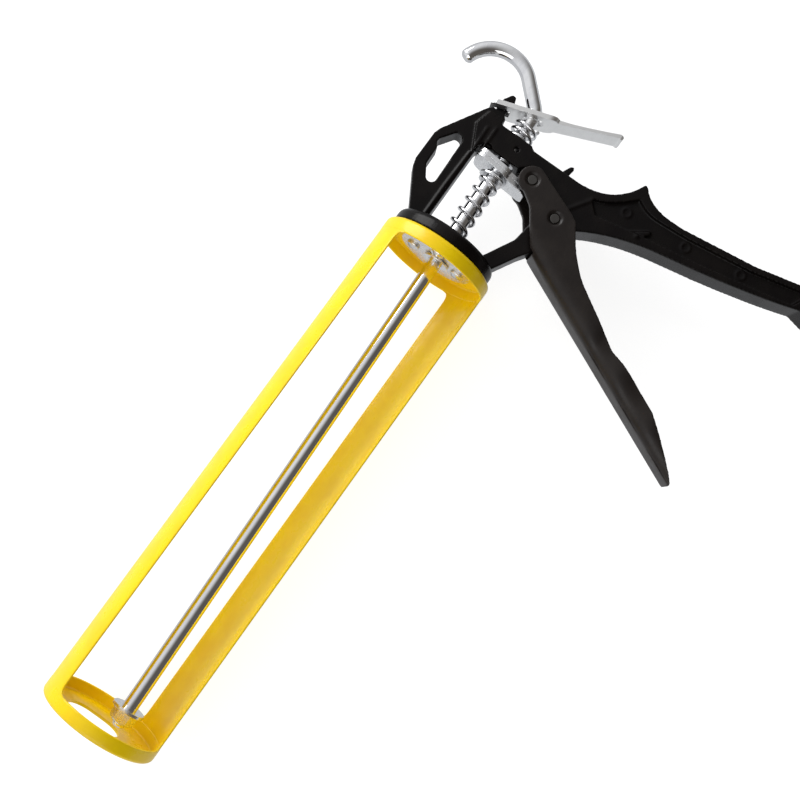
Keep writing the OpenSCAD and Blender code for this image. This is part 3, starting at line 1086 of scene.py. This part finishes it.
@dataclass
class PushRod:
    """The hooked rod with its threaded end, washer and nut."""

    radius: float = 3.475
    tip: float = 243.0
    threaded: float = 9.0
    core: float = 2.75
    thread_pitch: float = 0.9
    bend_x: float = -84.7
    rise: float = 44.0
    bend_radius: float = 8.0
    straight: float = 14.0
    hook_radius: float = 17.8
    sweep: float = 119.0

    def path(self) -> list[Vector]:
        """The rod's middle line from the front to the hook's end."""
        points = [Vector((self.tip - self.threaded - 60 * k / 3, 0, 0)) for k in range(3)]
        run = self.tip - 100 - self.bend_x
        points += [Vector((self.bend_x + run * (1 - k / 10), 0, 0)) for k in range(10)]
        for k in range(9):
            a = math.radians(self.rise) * k / 8
            bent = self.bend_radius * math.sin(a), self.bend_radius * (1 - math.cos(a))
            points.append(Vector((self.bend_x - bent[0], 0, bent[1])))
        root = points[-1]
        a = math.radians(self.rise)
        back, up = Vector((-math.cos(a), 0, math.sin(a))), Vector((math.sin(a), 0, math.cos(a)))
        points += [root + back * self.straight * k / 4 for k in range(1, 4)]
        centre = root + back * self.straight + up * self.hook_radius
        for k in range(29):
            t = math.radians(self.sweep) * k / 28
            points.append(centre + self.hook_radius * (back * math.sin(t) - up * math.cos(t)))
        return points

    def bar(self) -> None:
        """The plated bar, with the pale end face of the hook."""
        path = self.path()
        radii = [self.radius] * len(path)
        point = 0.6
        front = [
            (self.tip - self.threaded + 0.7, self.core),
            (self.tip - point, self.core),
            (self.tip, self.core - point),
        ]
        for x, r in front:
            path.insert(0, Vector((x, 0, 0)))
            radii.insert(0, r)
        radii[len(front)] = self.radius
        along = (path[-1] - path[-2]).normalized()
        for step, drop in ((0.5, 0.15), (0.45, 0.55), (0.45, 1.0)):
            path.append(path[-1] + along * step)
            radii.append(self.radius - drop)
        bm = sweep(path, radii, 48)
        obj = stand("push_rod_bar", bm, on_rod=True)
        for polygon in obj.data.polygons:
            if len(polygon.vertices) > 4 and polygon.center.x < 0:
                polygon.material_index = 1
        finished(settle(obj, 30), Body.ROD, [CHROME, PALE_ZINC], "push_rod")

    def thread(self) -> None:
        """The thread on the rod's front end."""
        length = self.threaded - 1.2
        sizes = {
            "Turns": length / self.thread_pitch, "Closed Turns": 0.0, "Coil Radius": (self.core - 0.12) * MM,
            "Wire Radius": 0.42 * MM, "Length": length * MM, "Steps": 28, "Sides": 6,
            "Finish": ZINC.material(),
        }
        bm = grown(coil_tree(), sizes)
        bm.transform(Matrix.Translation((self.tip - self.threaded + 0.6, 0, 0)) @ ALONG_X)
        finished(settle(stand("rod_thread", bm, on_rod=True), 60), Body.ROD, [ZINC])

    def build(self) -> None:
        """Makes the rod's pieces."""
        self.bar()
        self.thread()
        for node, name, width in (("tip_washer", "tip_washer_disc", 0.25), ("tip_nut", "tip_nut_hex", 0.3)):
            finished(eased(stand(name, cad_copy(node)), width), Body.ROD, [ZINC], node)


@dataclass
class Drive:
    """The gripping plates, the return spring and its washer."""

    stack: float = -54.6
    collar: float = -14.0
    washer_front: float = 4.6
    wire: float = 1.8
    turns: float = 6.5
    coil: float = 4.75
    travel: float = 10.6

    def spring(self) -> None:
        """The return spring."""
        start, end = self.stack + self.washer_front, self.collar
        length = end - start
        sizes = {
            "Turns": self.turns, "Closed Turns": 0.6, "Coil Radius": self.coil * MM,
            "Wire Radius": self.wire / 2 * MM, "Length": length * MM, "Steps": 36, "Sides": 16,
            "Finish": SPRING_STEEL.material(),
        }
        bm = grown(coil_tree(), sizes)
        bm.transform(Matrix.Translation((start, 0, 0)) @ ALONG_X)
        obj = settle(stand("return_spring", bm, on_rod=True), 60)
        finished(obj, Body.FRAME, [SPRING_STEEL], "main_spring")
        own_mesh(obj)

    def build(self) -> None:
        """Makes the drive's pieces."""
        self.spring()
        for node, name, width in (
            ("front_drive_plate", "front_gripping_plate", 0.35),
            ("rear_drive_plate", "rear_gripping_plate", 0.35),
            ("spring_washer", "spring_washer_disc", 0.2),
        ):
            finished(eased(stand(name, cad_copy(node)), width), Body.PLATES, [ZINC], node)


@dataclass
class Trigger:
    """The trigger casting and its thrust pin."""

    voxel: float = 0.5
    passes: int = 4
    wave_depth: float = 0.9
    wave_pitch: float = 24.5
    wave_start: float = 74.0

    def waves(self, p: Vector) -> Vector:
        """Shallow finger hollows down the outside of the grip.

        Args:
            p: a point of the skin.

        Returns:
            Where it goes.
        """
        down = -p.z
        if down < self.wave_start or abs(p.y) < 6.0:
            return p
        run = down - self.wave_start
        fade = min(1.0, run / 8.0)
        dip = self.wave_depth * fade * (0.5 - 0.5 * math.cos(math.tau * run / self.wave_pitch))
        return Vector((p.x, p.y - math.copysign(dip, p.y), p.z))

    def build(self) -> None:
        """Makes the trigger's pieces."""
        obj = stand("trigger_casting", cad_copy("trigger"))
        finished(cast(obj, self.voxel, self.passes, self.waves), Body.TRIGGER, [TRIGGER_PAINT], "trigger")
        pin = eased(stand("thrust_pin_turned", cad_copy("thrust_pin")), 0.35)
        finished(pin, Body.TRIGGER, [DARK_STEEL], "thrust_pin")


@dataclass
class Release:
    """The thumb release and its spring."""

    rear: float = -82.0
    block: float = -71.7
    wire: float = 1.6
    coil: float = 5.6
    turns: float = 2.8
    squeeze: float = 2.45

    def build(self) -> None:
        """Makes the release's pieces."""
        lever = eased(stand("release_lever", cad_copy("release_plate")), 0.45)
        finished(lever, Body.RELEASE, [PALE_ZINC], "release_plate")
        length = self.block - self.rear
        sizes = {
            "Turns": self.turns, "Closed Turns": 0.2, "Coil Radius": self.coil * MM,
            "Wire Radius": self.wire / 2 * MM, "Length": length * MM, "Steps": 36, "Sides": 16,
            "Finish": SPRING_STEEL.material(),
        }
        bm = grown(coil_tree(), sizes)
        bm.transform(Matrix.Translation((self.rear, 0, 0)) @ ALONG_X)
        obj = settle(stand("release_spring_coil", bm, on_rod=True), 60)
        finished(obj, Body.FRAME, [SPRING_STEEL], "release_spring")
        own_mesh(obj)


# ---------------------------------------------------------------- studio


@dataclass(frozen=True)
class Softbox:
    """One soft light: where it stands, where it points, its side and its power."""

    name: str
    place: tuple[float, float, float]
    side: float
    power: float
    colour: tuple[float, float, float] = (1.0, 1.0, 1.0)


@dataclass
class Studio:
    """The pale floor that the gun lies on, the soft lights and the camera."""

    aim: Vector = field(default_factory=lambda: Vector((0.131059, 0.0, 0.060661)))
    eye: Vector = field(default_factory=lambda: Vector((0.1933, 0.4864, 0.0518)))
    roll: float = 54.536
    lens: float = 49.25
    floor_y: float = -0.0285
    floor_half: float = 3.0
    floor_glow: float = 0.85
    floor_mirrored: float = 0.6
    lights: tuple[Softbox, ...] = (
        Softbox("Key", (-0.25, 0.45, 0.95), 0.7, 8.5),
        Softbox("Fill", (1.1, 0.7, -0.1), 0.9, 4.0),
        Softbox("Far side", (0.2, -1.1, 0.6), 1.2, 10.0),
    )

    def camera(self) -> None:
        """Sets the camera, rolled so that the gun runs across the picture's diagonal."""
        look = (self.aim - self.eye).normalized()
        level = look.cross(Vector((0, 0, 1))).normalized()
        upright = level.cross(look)
        turn = math.radians(self.roll)
        aside = look.cross(upright)
        up = upright * math.cos(turn) + aside * math.sin(turn)
        right = look.cross(up)
        data = bpy.data.cameras.new("Camera")
        data.lens = self.lens
        data.sensor_width = 36.0
        data.clip_start, data.clip_end = 0.01, 20.0
        cam = bpy.data.objects.new("Camera", data)
        cam.matrix_world = Matrix.Translation(self.eye) @ Matrix((right, up, -look)).transposed().to_4x4()
        bpy.context.scene.collection.objects.link(cam)
        bpy.context.scene.camera = cam

    def softboxes(self) -> None:
        """Hangs the lights."""
        for box in self.lights:
            data = bpy.data.lights.new(box.name, "AREA")
            data.shape = "SQUARE"
            data.size = box.side
            data.energy = box.power
            data.color = box.colour
            lamp = bpy.data.objects.new(box.name, data)
            place = Vector(box.place)
            lamp.location = place
            lamp.rotation_mode = "QUATERNION"
            lamp.rotation_quaternion = (self.aim - place).to_track_quat("-Z", "Y")
            bpy.context.scene.collection.objects.link(lamp)

    def floor(self) -> None:
        """The floor that the gun lies on with its right side; seen from below it isn't there."""
        mesh = bpy.data.meshes.new("floor")
        h, y = self.floor_half, self.floor_y
        mesh.from_pydata([(-h, y, -h), (-h, y, h), (h, y, h), (h, y, -h)], [], [(0, 1, 2, 3)])
        obj = bpy.data.objects.new("floor", mesh)
        bpy.context.scene.collection.objects.link(obj)
        made = bpy.data.materials.new("Pale floor")
        made.use_nodes = True
        made.node_tree.nodes.clear()
        desk = NodeDesk(made.node_tree)
        rays = desk.add("ShaderNodeLightPath")
        plain = desk.add("ShaderNodeBsdfDiffuse", {"Color": (0.35, 0.35, 0.35, 1.0)})
        glow = desk.add("ShaderNodeEmission", {"Color": (1.0, 1.0, 1.0, 1.0), "Strength": self.floor_glow})
        lit = desk.add("ShaderNodeAddShader", {0: plain.outputs[0], 1: glow.outputs[0]})
        mirrored = {"Color": (0.9, 0.92, 0.95, 1.0), "Strength": self.floor_mirrored}
        dim = desk.add("ShaderNodeEmission", mirrored)
        glossy = rays.outputs["Is Glossy Ray"]
        pale = desk.add("ShaderNodeMixShader", {0: glossy, 1: lit.outputs[0], 2: dim.outputs[0]})
        clear = desk.add("ShaderNodeBsdfTransparent")
        below = desk.add("ShaderNodeNewGeometry").outputs["Backfacing"]
        hidden = desk.math("MAXIMUM", below, rays.outputs["Is Shadow Ray"])
        mix = desk.add("ShaderNodeMixShader", {0: hidden, 1: pale.outputs[0], 2: clear.outputs[0]})
        desk.add("ShaderNodeOutputMaterial", {"Surface": mix.outputs[0]})
        mesh.materials.append(made)

    def surroundings(self) -> None:
        """A pale room that is darker low down, for the metal to mirror."""
        world = bpy.data.worlds.new("Studio")
        world.use_nodes = True
        world.node_tree.nodes.clear()
        desk = NodeDesk(world.node_tree)
        way = desk.add("ShaderNodeTexCoord").outputs["Generated"]
        height = desk.add("ShaderNodeSeparateXYZ", {0: way}).outputs[2]
        tone = desk.mix(desk.ramp(height, -0.5, 0.5), (0.12, 0.11, 0.10, 1.0), (0.85, 0.86, 0.88, 1.0))
        camera_ray = desk.add("ShaderNodeLightPath").outputs["Is Camera Ray"]
        seen = desk.mix(camera_ray, tone, (0.93, 0.93, 0.93, 1.0))
        sky = desk.add("ShaderNodeBackground", {"Color": seen, "Strength": 0.9})
        desk.add("ShaderNodeOutputWorld", {"Surface": sky.outputs[0]})
        bpy.context.scene.world = world

    def build(self) -> None:
        """Sets up the studio."""
        bpy.context.scene.view_settings.view_transform = "Standard"
        self.floor()
        self.surroundings()
        self.softboxes()
        self.camera()


def main() -> None:
    """Builds every sub-assembly and the studio."""
    logging.basicConfig(level=logging.INFO, format="%(message)s")
    for part in (Cradle(), CastBody(), PushRod(), Drive(), Trigger(), Release(), Studio()):
        part.build()
        LOG.info("%s done", type(part).__name__)


if __name__ == "__main__":
    main()
